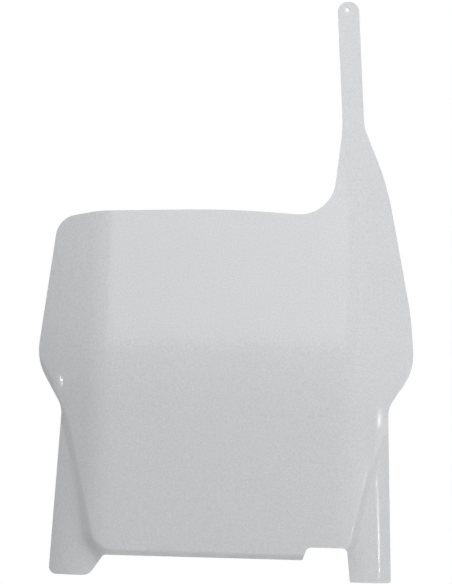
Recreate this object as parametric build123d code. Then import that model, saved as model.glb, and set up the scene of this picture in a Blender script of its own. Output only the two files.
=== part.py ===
from build123d import *
import os
from math import asin, cos, degrees, radians, sin, tan

# A motorcycle front number board, moulded in one piece of polypropylene.
# X points to the viewer's right, Y points back (the numbered face looks along -Y) and Z points up.
# Heights are given above the feet. The finished board is moved so that its origin lies on the flat
# back of the upper panel. Angles are in degrees, everything else is in millimetres.

# Sheet
WALL = 2.0                    # thickness of the moulded sheet
FILL = 60.0                   # how far the forms are filled behind the face before they are hollowed
MARGIN = 8.0                  # how far the forms run past the trimmed outline
OVERLAP = 2.0                 # how far one form starts before the surface that it cuts or joins

# Overall sizes
WING_HALF_WIDTH = 121.5       # from the middle to the corner of a wing, before rounding
WING_HEIGHT = 138.3           # height of that corner
TOP_HEIGHT = 235.2            # height of the top edge at its ends
STRAP_LENGTH = 80.7           # height of the strap above its flare

# Plan section: a flat face with a wing folded back at each side
WING_WIDTH = 49.2             # from the start of the fold to the wing's corner
FOLD_RADIUS = 36.0
FOLD_ANGLE = 24.0
WING_RADIUS = 200.0           # the wings go on bending gently behind the fold

# Side profile: upright upper panel, soft ridge at the widest height, lower face tucked back
RIDGE_RISE = 26.0             # start of the ridge above the wing's corner
RIDGE_RADIUS = 250.0
LOWER_TILT_ANGLE = 12.0

# Raised panel between drafted walls
PANEL_CORNER_OUT = 8.4        # lower corners outside the start of the fold
PANEL_CORNER_RADIUS = 14.0
PANEL_SIDE_ANGLE = 8.1        # the panel widens upwards
PANEL_SHOULDER_ANGLE = 13.0   # and widens more above the necks, until its walls run out on the wings
PANEL_BEND_DROP = 11.0        # the walls bend this far below the left neck
PANEL_BEND_RADIUS = 200.0
PANEL_DRAFT_ANGLE = 38.0      # slope of the walls that step down to the legs
PANEL_DEPTH = 46.0
PANEL_EDGE_RADIUS = 3.5       # rounding along the top of the walls

# Legs: lower than the raised panel, rolled back towards their outer edges
LEG_TOP_RISE = 32.0           # start of the legs above the left neck, hidden inside the raised panel
LEG_STEP = 9.0                # how far the legs lie behind the lower face
LEG_ROLL_OUT = 7.3            # start of the roll outside the start of the fold, at the top of the legs
LEG_ROLL_RADIUS = 40.0
LEG_ROLL_ANGLE = 40.0         # the roll runs out straight behind this angle
LEG_LEAN_ANGLE = 3.5          # the rolls spread outwards, down to the feet
LEG_CREASE_RADIUS = 4.0       # rounding along the foot of the walls

# Outline seen from the front: top edge and wings
TOP_CROWN = 3.3               # rise of the top edge at the middle
TOP_CROWN_RADIUS = 600.0
TOP_BREAK_OUT = 10.8          # the top edge drops along the wing from here, outside the fold's start
TOP_BREAK_RADIUS = 70.0
WING_TOP_INSET = 11.7
WING_TOP_DROP = 5.3
WING_TOP_RADIUS = 15.0
WING_CORNER_RADIUS = 34.0
RIGHT_EDGE_INSET = 3.4        # bend in the right wing's edge, which runs up into the strap
RIGHT_EDGE_RISE = 35.0
RIGHT_EDGE_RADIUS = 190.0

# Outline: neck, feet and chin
NECK_INSET = 17.0
NECK_DROP = 29.3
RIGHT_NECK_RISE = 5.3         # the right neck lies higher and further out than the left one
RIGHT_NECK_OUT = 0.7
NECK_RADIUS = 16.0
FOOT_INSET = 10.5
FOOT_WIDTH = 26.3
FOOT_OUTER_RADIUS = 4.6
RIGHT_FOOT_OUTER_RADIUS = 1.5
FOOT_INNER_RADIUS = 8.0
CHIN_HEIGHT = 13.9
CHIN_LIP = 2.7                # height of the wall left below the chin's edge
CHIN_END_INSET = 9.3
CHIN_END_RADIUS = 3.8

# Brake hose notch in the lower right corner
NOTCH_FOOT_WIDTH = 26.8       # width of the right foot
NOTCH_SLANT = 2.7
NOTCH_WIDTH = 25.8
NOTCH_RISE = 8.7
NOTCH_CHIN_SLANT = 2.8
NOTCH_RADIUS = 4.0
NOTCH_CORNER_RADIUS = 1.2

# Handlebar strap, grown from the upper right corner
STRAP_WIDTH = 13.8
STRAP_BLANK_WIDTH = 54.0      # width of the strap before it is trimmed
STRAP_TIP_RADIUS = 6.6
STRAP_SHIFT = 2.5             # root of the strap inside the middle of the fold
STRAP_TIP_SHIFT = 5.5         # tip of the strap inside its root
STRAP_LEAN_ANGLE = 8.0        # backward lean of the strap
STRAP_LEAN_RADIUS = 90.0
FLARE_HEIGHT = 57.5
FLARE_LEFT_INSET = 7.6
FLARE_LEFT_RADIUS = 23.0
FLARE_LEFT_TOP_RADIUS = 95.0
FLARE_RIGHT_INSET = 21.3
FLARE_RIGHT_RISE = 21.3
FLARE_RIGHT_RADIUS = 180.0
FLARE_RIGHT_TOP_RADIUS = 29.0

# Strap hole, and the stud on the back that it buttons over
HOLE_DIAMETER = 3.2
HOLE_FROM_TIP = 5.3
STUD_DIAMETER = 2.9
STUD_LENGTH = 5.0
STUD_HEAD_DIAMETER = 4.4
STUD_HEAD_LENGTH = 1.6
STUD_RISE = 27.2              # height of the stud above the top edge

ORIGIN_DROP = 35.2            # height of the origin below the top edge, on the flat upper panel

# Limits that tell a front face, a side wall and a touching edge apart
FRONT_ANGLE = 72.5
SIDE_ANGLE = 18.0
TOUCH = 0.001

# Widths from the middle that follow from the sizes above
FACE_HALF_WIDTH = WING_HALF_WIDTH - WING_WIDTH
SPAN = WING_HALF_WIDTH + MARGIN
PANEL_HALF_CHIN = FACE_HALF_WIDTH + PANEL_CORNER_OUT
LEG_ROLL_START = FACE_HALF_WIDTH + LEG_ROLL_OUT
TOP_BREAK_X = FACE_HALF_WIDTH + TOP_BREAK_OUT
WING_TOP_X = WING_HALF_WIDTH - WING_TOP_INSET
RIGHT_EDGE_X = WING_HALF_WIDTH - RIGHT_EDGE_INSET
NECK_HALF_WIDTH = WING_HALF_WIDTH - NECK_INSET
FOOT_HALF_WIDTH = WING_HALF_WIDTH - FOOT_INSET
FOOT_INNER_X = FOOT_HALF_WIDTH - FOOT_WIDTH
CHIN_END_X = FOOT_INNER_X - CHIN_END_INSET
NOTCH_FOOT_X = FOOT_HALF_WIDTH - NOTCH_FOOT_WIDTH
NOTCH_RIGHT_X = NOTCH_FOOT_X - NOTCH_SLANT
NOTCH_LEFT_X = NOTCH_RIGHT_X - NOTCH_WIDTH
NOTCH_CHIN_X = NOTCH_LEFT_X - NOTCH_CHIN_SLANT
FLARE_LEFT_X = FACE_HALF_WIDTH - FLARE_LEFT_INSET
FLARE_RIGHT_X = WING_HALF_WIDTH - FLARE_RIGHT_INSET

# Heights above the feet
RIDGE_TOP = WING_HEIGHT + RIDGE_RISE
RIGHT_EDGE_HEIGHT = WING_HEIGHT + RIGHT_EDGE_RISE
NECK_HEIGHT = WING_HEIGHT - NECK_DROP
WING_TOP_HEIGHT = TOP_HEIGHT - WING_TOP_DROP
NOTCH_TOP = CHIN_HEIGHT + NOTCH_RISE
TONGUE_BASE = TOP_HEIGHT + TOP_CROWN + OVERLAP
FLARE_RIGHT_HEIGHT = TOP_HEIGHT + FLARE_RIGHT_RISE
STRAP_ROOT_HEIGHT = TOP_HEIGHT + FLARE_HEIGHT
STRAP_TIP_HEIGHT = STRAP_ROOT_HEIGHT + STRAP_LENGTH
STUD_HEIGHT = TOP_HEIGHT + STUD_RISE
ORIGIN_HEIGHT = TOP_HEIGHT - ORIGIN_DROP

# Lower face, and distances down it from the end of the ridge
TILT_SIN = sin(radians(LOWER_TILT_ANGLE))
TILT_COS = cos(radians(LOWER_TILT_ANGLE))
RIDGE_BOTTOM = RIDGE_TOP - RIDGE_RADIUS * TILT_SIN
RIDGE_END = Vector(0, RIDGE_RADIUS * (1.0 - TILT_COS), RIDGE_BOTTOM)
LOWER_BACK = Vector(0, TILT_COS, TILT_SIN)
LOWER_SECTION = Plane(RIDGE_END, x_dir=(1, 0, 0), z_dir=(0, -TILT_SIN, TILT_COS))
LOWER_FACE = Plane(RIDGE_END, x_dir=(1, 0, 0), z_dir=LOWER_BACK)
LOWER_LENGTH = RIDGE_BOTTOM / TILT_COS + MARGIN
PANEL_LENGTH = (RIDGE_BOTTOM - CHIN_HEIGHT - CHIN_LIP) / TILT_COS
PANEL_BEND = (RIDGE_BOTTOM - NECK_HEIGHT + PANEL_BEND_DROP) / TILT_COS
LEG_TOP = (RIDGE_BOTTOM - NECK_HEIGHT - LEG_TOP_RISE) / TILT_COS
LEG_LENGTH = LOWER_LENGTH - LEG_TOP

# The strap is flat and touches the fold along its middle line
BLADE_ANGLE = FOLD_ANGLE / 2
BLADE_SIN = sin(radians(BLADE_ANGLE))
BLADE_COS = cos(radians(BLADE_ANGLE))
BLADE_X = FACE_HALF_WIDTH + FOLD_RADIUS * BLADE_SIN
BLADE_Y = FOLD_RADIUS * (1.0 - BLADE_COS)
BLADE = Plane((BLADE_X, BLADE_Y, STRAP_ROOT_HEIGHT), x_dir=(BLADE_COS, BLADE_SIN, 0), z_dir=(0, 0, 1))
STRAP_ROOT_X = BLADE_X - STRAP_SHIFT
STRAP_TIP_X = STRAP_ROOT_X - STRAP_TIP_SHIFT


def rounded(corners):
    """Closed face through (x, height, radius) corners."""
    points = [(x, height) for x, height, _ in corners]
    radii = [radius for _, _, radius in corners]
    return make_face(FilletPolyline(*points, radius=radii, close=True))


def reach(set_back):
    """Half width of a form: the more it is set back, the wider it is, so that it cuts right through."""
    return SPAN + 2 * set_back


def front_edges(start_x, set_back):
    """Face, fold and wing of the right half of the plan section, set back by a depth."""
    fold_end = FACE_HALF_WIDTH + FOLD_RADIUS * sin(radians(FOLD_ANGLE))
    span_angle = degrees(asin(sin(radians(FOLD_ANGLE)) + (reach(set_back) - fold_end) / WING_RADIUS))
    face = Line((start_x, set_back), (FACE_HALF_WIDTH, set_back))
    fold = JernArc(face @ 1, (1, 0), FOLD_RADIUS - set_back, FOLD_ANGLE)
    wing = JernArc(fold @ 1, fold % 1, WING_RADIUS - set_back, span_angle - FOLD_ANGLE)
    return [face, fold, wing]


def filled(front, depth):
    """Face between front edges that run left to right and a straight line behind them."""
    left = front[0] @ 0
    right = front[-1] @ 1
    behind = Polyline(right, (right.X, depth), (left.X, depth), left)
    return make_face(Curve() + front + behind)


def both_sides(half):
    return half + mirror(half, about=Plane.YZ)


def main_section(set_back):
    return both_sides(filled(front_edges(0, set_back), FILL + set_back))


def leg_section(set_back):
    """Right leg: flat from behind the middle of the panel, then rolled back towards its outer edge."""
    inner_end = -LEG_LENGTH * tan(radians(LEG_LEAN_ANGLE))
    face = Line((inner_end, LEG_STEP + set_back), (LEG_ROLL_START, LEG_STEP + set_back))
    roll = JernArc(face @ 1, (1, 0), LEG_ROLL_RADIUS - set_back, LEG_ROLL_ANGLE)
    start = roll @ 1
    end_x = reach(set_back)
    run_out = Line(start, (end_x, start.Y + (end_x - start.X) * tan(radians(LEG_ROLL_ANGLE))))
    return filled([face, roll, run_out], FILL + set_back)


def panel_block(set_back):
    """Block with drafted walls that cuts the raised panel out of the front."""
    draft = radians(PANEL_DRAFT_ANGLE)
    rise = RIDGE_RADIUS * radians(LOWER_TILT_ANGLE) + 2 * MARGIN
    half_bend = PANEL_HALF_CHIN + (PANEL_LENGTH - PANEL_BEND) * tan(radians(PANEL_SIDE_ANGLE))
    half_top = half_bend + (PANEL_BEND + rise) * tan(radians(PANEL_SHOULDER_ANGLE))
    corners = [
        (half_top, -rise, 0),
        (half_bend, PANEL_BEND, PANEL_BEND_RADIUS),
        (PANEL_HALF_CHIN, PANEL_LENGTH, PANEL_CORNER_RADIUS),
        (-PANEL_HALF_CHIN, PANEL_LENGTH, PANEL_CORNER_RADIUS),
        (-half_bend, PANEL_BEND, PANEL_BEND_RADIUS),
        (-half_top, -rise, 0),
    ]
    inset = OVERLAP * tan(draft) + set_back / cos(draft)
    outline = offset(rounded(corners), -inset)
    plane = LOWER_FACE.offset(-OVERLAP)
    return extrude(plane * outline, OVERLAP + PANEL_DEPTH + set_back, taper=-PANEL_DRAFT_ANGLE)


def raised_panel(set_back, edge_radius):
    """Ridge and lower face, trimmed to the raised panel, with its front edges rounded."""
    section = main_section(set_back)
    ridge_axis = Axis((0, RIDGE_RADIUS, RIDGE_TOP), (1, 0, 0))
    ridge = revolve(Pos(0, 0, RIDGE_TOP) * section, ridge_axis, LOWER_TILT_ANGLE)
    front = ridge + extrude(LOWER_SECTION * section, -LOWER_LENGTH - set_back)
    block = panel_block(set_back)
    panel = front & block
    return fillet(seam(panel, front_faces(front), side_faces(block)), edge_radius)


def legs(set_back):
    lean = radians(LEG_LEAN_ANGLE)
    top = LOWER_SECTION.offset(-LEG_TOP)
    down = top.x_dir * sin(lean) - top.z_dir * cos(lean)
    length = (LEG_LENGTH + set_back) / cos(lean)
    return both_sides(extrude(top * leg_section(set_back), length, dir=down))


def front_faces(shape):
    limit = cos(radians(FRONT_ANGLE))
    return [face for face in shape.faces() if face.normal_at().dot(LOWER_BACK) < -limit]


def side_faces(shape):
    limit = cos(radians(SIDE_ANGLE))
    return [face for face in shape.faces() if abs(face.normal_at().dot(LOWER_BACK)) < limit]


def seam(shape, first, second):
    """Edges of a shape that lie on both groups of faces."""
    return [edge for edge in shape.edges() if lies_on(edge, first) and lies_on(edge, second)]


def lies_on(edge, faces):
    return any(face.distance_to(edge.center()) < TOUCH for face in faces)


def tongue(set_back):
    """Flare between the folded top edge and the flat strap."""
    bent = front_edges(FACE_HALF_WIDTH / 2 - set_back, set_back)
    stations = [bent[0] @ 0, bent[0] @ 1, bent[1] @ 1, bent[2] @ 1]
    slope = BLADE_SIN / BLADE_COS
    points = [(p.X, BLADE_Y + (p.X - BLADE_X) * slope + set_back / BLADE_COS) for p in stations]
    flat = [Line(a, b) for a, b in zip(points, points[1:])]
    base = Pos(0, 0, TONGUE_BASE) * filled(bent, FILL + set_back)
    root = Pos(0, 0, STRAP_ROOT_HEIGHT) * filled(flat, FILL + set_back)
    return loft([base, root], ruled=True)


def strap_plane():
    """Cross-section plane of the strap above its backward bend."""
    lean = radians(STRAP_LEAN_ANGLE)
    back = STRAP_LEAN_RADIUS * (1.0 - cos(lean))
    up = STRAP_LEAN_RADIUS * sin(lean)
    origin = BLADE.origin + BLADE.y_dir * back + BLADE.z_dir * up
    return Plane(origin, x_dir=BLADE.x_dir, z_dir=BLADE.z_dir * cos(lean) + BLADE.y_dir * sin(lean))


def strap(set_back):
    """Flat strap: a short backward bend, then a straight blade."""
    depth = FILL / 2
    section = Pos(0, set_back + depth / 2) * Rectangle(STRAP_BLANK_WIDTH + 2 * set_back, depth)
    axis = Axis(BLADE.origin + BLADE.y_dir * STRAP_LEAN_RADIUS, BLADE.x_dir)
    bend = revolve(BLADE * section, axis, -STRAP_LEAN_ANGLE)
    straight = extrude(strap_plane() * section, STRAP_LENGTH + MARGIN + set_back)
    return bend + straight


def form(set_back):
    """Everything behind the front skin, set back by a depth."""
    upper = extrude(Pos(0, 0, RIDGE_TOP) * main_section(set_back), TONGUE_BASE - RIDGE_TOP)
    panel = raised_panel(set_back, PANEL_EDGE_RADIUS - set_back)
    lower = panel + legs(set_back)
    creases = seam(lower, side_faces(panel_block(set_back)), front_faces(legs(set_back)))
    lower = fillet(creases, LEG_CREASE_RADIUS + set_back)
    return upper + lower + tongue(set_back) + strap(set_back)


def board_outline():
    root = Vector(STRAP_ROOT_X, STRAP_ROOT_HEIGHT)
    tip = Vector(STRAP_TIP_X, STRAP_TIP_HEIGHT)
    side = (tip - root).normalized().rotate(Axis.Z, 90) * (STRAP_WIDTH / 2)
    corners = [
        (-FOOT_HALF_WIDTH, 0, FOOT_OUTER_RADIUS),
        (-NECK_HALF_WIDTH, NECK_HEIGHT, NECK_RADIUS),
        (-WING_HALF_WIDTH, WING_HEIGHT, WING_CORNER_RADIUS),
        (-WING_TOP_X, WING_TOP_HEIGHT, WING_TOP_RADIUS),
        (-TOP_BREAK_X, TOP_HEIGHT, TOP_BREAK_RADIUS),
        (0, TOP_HEIGHT + TOP_CROWN, TOP_CROWN_RADIUS),
        (FLARE_LEFT_X, TOP_HEIGHT, FLARE_LEFT_RADIUS),
        (*tuple(root + side)[:2], FLARE_LEFT_TOP_RADIUS),
        (*tuple(tip + side)[:2], STRAP_TIP_RADIUS),
        (*tuple(tip - side)[:2], STRAP_TIP_RADIUS),
        (*tuple(root - side)[:2], FLARE_RIGHT_TOP_RADIUS),
        (FLARE_RIGHT_X, FLARE_RIGHT_HEIGHT, FLARE_RIGHT_RADIUS),
        (RIGHT_EDGE_X, RIGHT_EDGE_HEIGHT, RIGHT_EDGE_RADIUS),
        (WING_HALF_WIDTH, WING_HEIGHT, WING_CORNER_RADIUS),
        (NECK_HALF_WIDTH + RIGHT_NECK_OUT, NECK_HEIGHT + RIGHT_NECK_RISE, NECK_RADIUS),
        (FOOT_HALF_WIDTH, 0, RIGHT_FOOT_OUTER_RADIUS),
        (NOTCH_FOOT_X, 0, NOTCH_CORNER_RADIUS),
        (NOTCH_RIGHT_X, NOTCH_TOP, NOTCH_RADIUS),
        (NOTCH_LEFT_X, NOTCH_TOP, NOTCH_RADIUS),
        (NOTCH_CHIN_X, CHIN_HEIGHT, NOTCH_CORNER_RADIUS),
        (-CHIN_END_X, CHIN_HEIGHT, CHIN_END_RADIUS),
        (-FOOT_INNER_X, 0, FOOT_INNER_RADIUS),
    ]
    return rounded(corners)


def strap_hole():
    """Cutter for the hole near the strap's tip, square to the strap."""
    plane = strap_plane()
    lean = radians(STRAP_LEAN_ANGLE)
    height = STRAP_TIP_HEIGHT - HOLE_FROM_TIP
    rise = (height - plane.origin.Z) / cos(lean)
    shift = (STRAP_TIP_X - plane.origin.X + rise * sin(lean) * BLADE_SIN) / BLADE_COS
    centre = plane.origin + plane.x_dir * shift + plane.z_dir * rise
    across = Plane(centre, x_dir=plane.x_dir, z_dir=plane.y_dir)
    return across * Cylinder(HOLE_DIAMETER / 2, FILL)


def strap_stud():
    """Headed stud on the back of the flare."""
    height = Vector(0, 0, STUD_HEIGHT - STRAP_ROOT_HEIGHT)
    foot = Plane(BLADE.origin + height + BLADE.y_dir * WALL / 2, x_dir=BLADE.x_dir, z_dir=BLADE.y_dir)
    neck_length = STUD_LENGTH + WALL / 2
    on_foot = (Align.CENTER, Align.CENTER, Align.MIN)
    neck = Cylinder(STUD_DIAMETER / 2, neck_length, align=on_foot)
    head = Pos(0, 0, neck_length) * Cylinder(STUD_HEAD_DIAMETER / 2, STUD_HEAD_LENGTH, align=on_foot)
    head = fillet(head.edges().sort_by(Axis.Z)[-1], STUD_HEAD_LENGTH / 2)
    return foot * (neck + head)


def number_board():
    skin = form(0) - form(WALL)
    trim = extrude(Plane.XZ.offset(-FILL) * board_outline(), FILL + 2 * MARGIN)
    board = (skin & trim) - strap_hole() + strap_stud()
    return Pos(0, -WALL, -ORIGIN_HEIGHT) * board


os.makedirs("parts", exist_ok=True)
export_step(number_board(), "parts/number_board.step")
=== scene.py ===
from math import cos, radians, sin

import bpy
from mathutils import Euler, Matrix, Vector


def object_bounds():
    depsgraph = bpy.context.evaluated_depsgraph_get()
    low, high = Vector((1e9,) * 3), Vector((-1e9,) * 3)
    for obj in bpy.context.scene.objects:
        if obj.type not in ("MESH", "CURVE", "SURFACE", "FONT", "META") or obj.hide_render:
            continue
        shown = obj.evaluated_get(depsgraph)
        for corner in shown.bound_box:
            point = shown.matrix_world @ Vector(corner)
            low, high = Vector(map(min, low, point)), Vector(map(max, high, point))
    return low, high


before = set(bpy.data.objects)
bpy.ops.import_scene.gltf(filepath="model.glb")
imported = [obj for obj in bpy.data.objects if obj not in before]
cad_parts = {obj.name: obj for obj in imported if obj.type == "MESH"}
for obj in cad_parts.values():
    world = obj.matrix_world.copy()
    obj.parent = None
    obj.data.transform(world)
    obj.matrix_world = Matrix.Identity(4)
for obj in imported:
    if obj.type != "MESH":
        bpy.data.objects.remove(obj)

cad_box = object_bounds()
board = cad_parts["number_board"]

# Lengths are in metres, angles in degrees and powers in watts.

# Photograph's frame
VIEW_HEIGHT = 0.3748          # height that the picture shows at the board
VIEW_CENTRE = (-0.0011, 0.015, -0.01455)
CAMERA_DISTANCE = 3.0
CAMERA_ROLL = -1.62
SENSOR = 36.0                 # in millimetres, as the lens is
CLIP_END = 50.0

# Polypropylene
PLASTIC = (0.663, 0.670, 0.684)
PLASTIC_IOR = 1.49
GRAIN_SCALE = 1000.0          # moulded grain, about a millimetre across
GRAIN_DETAIL = 2.0
GRAIN_TINT = 0.16             # how much the grain darkens and lightens the colour
GRAIN_DEPTH = 0.00002
DRIFT_SCALE = 14.0            # slow waves in colour and gloss
DRIFT_DETAIL = 3.0
DRIFT_TINT = 0.02
WAVE_DEPTH = 0.0002
GLOSS_RANGE = (0.07, 0.11)    # roughness of the glossiest and dullest spots

# Stage
WHITE = (1.0, 1.0, 1.0)
FLOOR_GREY = (0.9, 0.9, 0.9)
FLOOR_DROP = 0.12             # floor below the board's feet
FLOOR_SIZE = 12.0
FLOOR_WHITE_RADIUS = 1.2      # the floor is plain white outside this radius
FLOOR_SHADE = 0.6             # share of real light and shadow that shows under the board
AMBIENT = 0.1

# Lamps around the middle of the board: azimuth to the viewer's right, elevation, distance,
# width, height, power and, for the slanting ones, tilt
LAMP_AIM = Vector((0, 0.01, -0.06))
SOFT_LAMPS = {                # soft light that leaves no spots in the gloss
    "key": (-15, 45, 0.8, 0.5, 0.5, 2.18),
    "side_right": (45, 20, 0.8, 0.5, 0.5, 1.9),
    "low_right": (60, -8, 0.8, 0.5, 0.5, 1.2),
    "top_left": (-75, 45, 0.8, 0.5, 0.5, 1.41),
}
BACK_LAMPS = {                # narrow beams that light the back and spill little on the floor
    "back_left": (-150, 15, 1.0, 0.4, 0.4, 0.18),
    "back_right": (125, 12, 1.0, 0.4, 0.4, 0.42),
}
BACK_SPREAD = 36
FRONT_PANELS = {              # stacked, so that their mirror image fades out along the ridge
    "front_low": (0, -1, 2.45, 1.3, 0.3, 1.0),
    "front_middle": (0, -1, 2.45, 1.3, 0.7, 2.1),
    "front_tall": (0, -1, 2.45, 1.3, 1.2, 3.7),
}
GLINT_LAMPS = {               # narrow lamps that only show in the gloss
    "strip_right": (76.9, -38.1, 0.227, 0.0009, 0.077, 0.011, 26),
    "neck_right": (78.8, -19.7, 0.179, 0.001, 0.015, 0.0014, 12),
    "neck_left": (-80.0, -11.1, 0.18, 0.001, 0.01, 0.001, -8),
}


def opaque(colour):
    return (*colour, 1.0)


def shades(colour, amount):
    """Darker and lighter neighbours of a colour."""
    return [opaque(c * (1 + side * amount) for c in colour) for side in (-1, 1)]


def noise(tree, place, scale, detail):
    texture = tree.nodes.new("ShaderNodeTexNoise")
    texture.inputs["Scale"].default_value = scale
    texture.inputs["Detail"].default_value = detail
    tree.links.new(place.outputs["Object"], texture.inputs["Vector"])
    return texture.outputs["Fac"]


def blend(tree, factor, first, second, mode):
    """Mix of two colours; each input is a socket or a fixed value."""
    mix = tree.nodes.new("ShaderNodeMix")
    mix.data_type = "RGBA"
    mix.blend_type = mode
    for socket, value in (("Factor_Float", factor), ("A_Color", first), ("B_Color", second)):
        target = next(s for s in mix.inputs if s.identifier == socket)
        if isinstance(value, bpy.types.NodeSocket):
            tree.links.new(value, target)
        else:
            target.default_value = value
    return next(s for s in mix.outputs if s.identifier == "Result_Color")


def bump(tree, height, depth, normal):
    node = tree.nodes.new("ShaderNodeBump")
    node.inputs["Distance"].default_value = depth
    tree.links.new(height, node.inputs["Height"])
    if normal:
        tree.links.new(normal, node.inputs["Normal"])
    return node.outputs["Normal"]


def plastic():
    """White moulded polypropylene: a light gloss with fine grain and slow waves."""
    material = bpy.data.materials.new("white_polypropylene")
    material.use_nodes = True
    tree = material.node_tree
    shader = tree.nodes["Principled BSDF"]
    shader.inputs["IOR"].default_value = PLASTIC_IOR
    place = tree.nodes.new("ShaderNodeTexCoord")
    grain = noise(tree, place, GRAIN_SCALE, GRAIN_DETAIL)
    drift = noise(tree, place, DRIFT_SCALE, DRIFT_DETAIL)
    colour = blend(tree, grain, *shades(PLASTIC, GRAIN_TINT), "MIX")
    tint = blend(tree, drift, *shades(WHITE, DRIFT_TINT), "MIX")
    tree.links.new(blend(tree, 1.0, colour, tint, "MULTIPLY"), shader.inputs["Base Color"])
    gloss = tree.nodes.new("ShaderNodeMapRange")
    gloss.inputs["To Min"].default_value = GLOSS_RANGE[0]
    gloss.inputs["To Max"].default_value = GLOSS_RANGE[1]
    tree.links.new(drift, gloss.inputs["Value"])
    tree.links.new(gloss.outputs["Result"], shader.inputs["Roughness"])
    waves = bump(tree, drift, WAVE_DEPTH, None)
    tree.links.new(bump(tree, grain, GRAIN_DEPTH, waves), shader.inputs["Normal"])
    return material


def plain_white(tree):
    """1 for the rays that see the background itself, in the picture, mirrored or through glass, else 0."""
    path = tree.nodes.new("ShaderNodeLightPath")
    seen = path.outputs["Is Camera Ray"]
    for ray in ("Is Glossy Ray", "Is Transmission Ray"):
        either = tree.nodes.new("ShaderNodeMath")
        either.operation = "MAXIMUM"
        tree.links.new(seen, either.inputs[0])
        tree.links.new(path.outputs[ray], either.inputs[1])
        seen = either.outputs[0]
    return seen


def floor_material():
    """Pale floor that keeps the board's shadow near its middle and is plain white further out."""
    material = bpy.data.materials.new("pale_floor")
    material.use_nodes = True
    tree = material.node_tree
    tree.nodes.clear()
    place = tree.nodes.new("ShaderNodeTexCoord")
    spread = tree.nodes.new("ShaderNodeVectorMath")
    spread.operation = "SCALE"
    spread.inputs["Scale"].default_value = 1.0 / FLOOR_WHITE_RADIUS
    near = tree.nodes.new("ShaderNodeTexGradient")
    near.gradient_type = "QUADRATIC_SPHERE"
    white = tree.nodes.new("ShaderNodeMapRange")
    white.inputs["To Min"].default_value = 1.0
    white.inputs["To Max"].default_value = 1.0 - FLOOR_SHADE
    share = tree.nodes.new("ShaderNodeMath")
    share.operation = "MULTIPLY"
    diffuse = tree.nodes.new("ShaderNodeBsdfDiffuse")
    diffuse.inputs["Color"].default_value = opaque(FLOOR_GREY)
    glow = tree.nodes.new("ShaderNodeEmission")
    mix = tree.nodes.new("ShaderNodeMixShader")
    out = tree.nodes.new("ShaderNodeOutputMaterial")
    tree.links.new(place.outputs["Object"], spread.inputs[0])
    tree.links.new(spread.outputs["Vector"], near.inputs["Vector"])
    tree.links.new(near.outputs["Fac"], white.inputs["Value"])
    tree.links.new(white.outputs["Result"], share.inputs[0])
    tree.links.new(plain_white(tree), share.inputs[1])
    tree.links.new(share.outputs[0], mix.inputs["Fac"])
    tree.links.new(diffuse.outputs[0], mix.inputs[1])
    tree.links.new(glow.outputs[0], mix.inputs[2])
    tree.links.new(mix.outputs[0], out.inputs["Surface"])
    return material


def floor():
    bpy.ops.mesh.primitive_plane_add(size=FLOOR_SIZE, location=(0, 0, cad_box[0][2] - FLOOR_DROP))
    plane = bpy.context.object
    plane.name = "floor"
    plane.data.materials.append(floor_material())


def surroundings():
    """Soft grey light from all around, with a plain white background."""
    world = bpy.data.worlds.new("studio")
    bpy.context.scene.world = world
    world.use_nodes = True
    tree = world.node_tree
    tree.nodes.clear()
    ambient = tree.nodes.new("ShaderNodeBackground")
    white = tree.nodes.new("ShaderNodeBackground")
    for background, strength in ((ambient, AMBIENT), (white, 1.0)):
        background.inputs["Color"].default_value = opaque(WHITE)
        background.inputs["Strength"].default_value = strength
    mix = tree.nodes.new("ShaderNodeMixShader")
    out = tree.nodes.new("ShaderNodeOutputWorld")
    tree.links.new(plain_white(tree), mix.inputs["Fac"])
    tree.links.new(ambient.outputs[0], mix.inputs[1])
    tree.links.new(white.outputs[0], mix.inputs[2])
    tree.links.new(mix.outputs[0], out.inputs["Surface"])


def lamp(name, azimuth, elevation, distance, width, height, power, tilt=0):
    """Elliptical lamp that faces the middle of the board."""
    light = bpy.data.lights.new(name, "AREA")
    light.shape = "ELLIPSE"
    light.size = width
    light.size_y = height
    light.energy = power
    holder = bpy.data.objects.new(name, light)
    bpy.context.scene.collection.objects.link(holder)
    turn, rise = radians(azimuth), radians(elevation)
    away = Vector((sin(turn) * cos(rise), -cos(turn) * cos(rise), sin(rise)))
    holder.location = LAMP_AIM + away * distance
    facing = (-away).to_track_quat("-Z", "Y").to_matrix() @ Euler((0, 0, radians(tilt))).to_matrix()
    holder.rotation_euler = facing.to_euler()
    return holder


def lamps():
    for name, values in (SOFT_LAMPS | BACK_LAMPS).items():
        lamp(name, *values).visible_glossy = False
    for name in BACK_LAMPS:
        bpy.data.lights[name].spread = radians(BACK_SPREAD)
    for name, values in FRONT_PANELS.items():
        lamp(name, *values)
    for name, values in GLINT_LAMPS.items():
        lamp(name, *values).visible_diffuse = False


def camera():
    """Long lens straight in front of the board, rolled as in the photograph."""
    lens = bpy.data.cameras.new("camera")
    lens.sensor_fit = "VERTICAL"
    lens.sensor_height = SENSOR
    lens.lens = SENSOR * CAMERA_DISTANCE / VIEW_HEIGHT
    lens.clip_end = CLIP_END
    eye = bpy.data.objects.new("camera", lens)
    bpy.context.scene.collection.objects.link(eye)
    eye.location = Vector(VIEW_CENTRE) - Vector((0, CAMERA_DISTANCE, 0))
    turn = Euler((0, radians(CAMERA_ROLL), 0)).to_matrix() @ Euler((radians(90), 0, 0)).to_matrix()
    eye.rotation_euler = turn.to_euler()
    bpy.context.scene.camera = eye


board.data.materials.clear()
board.data.materials.append(plastic())
floor()
surroundings()
lamps()
camera()

bpy.context.scene.view_settings.view_transform = "Standard"
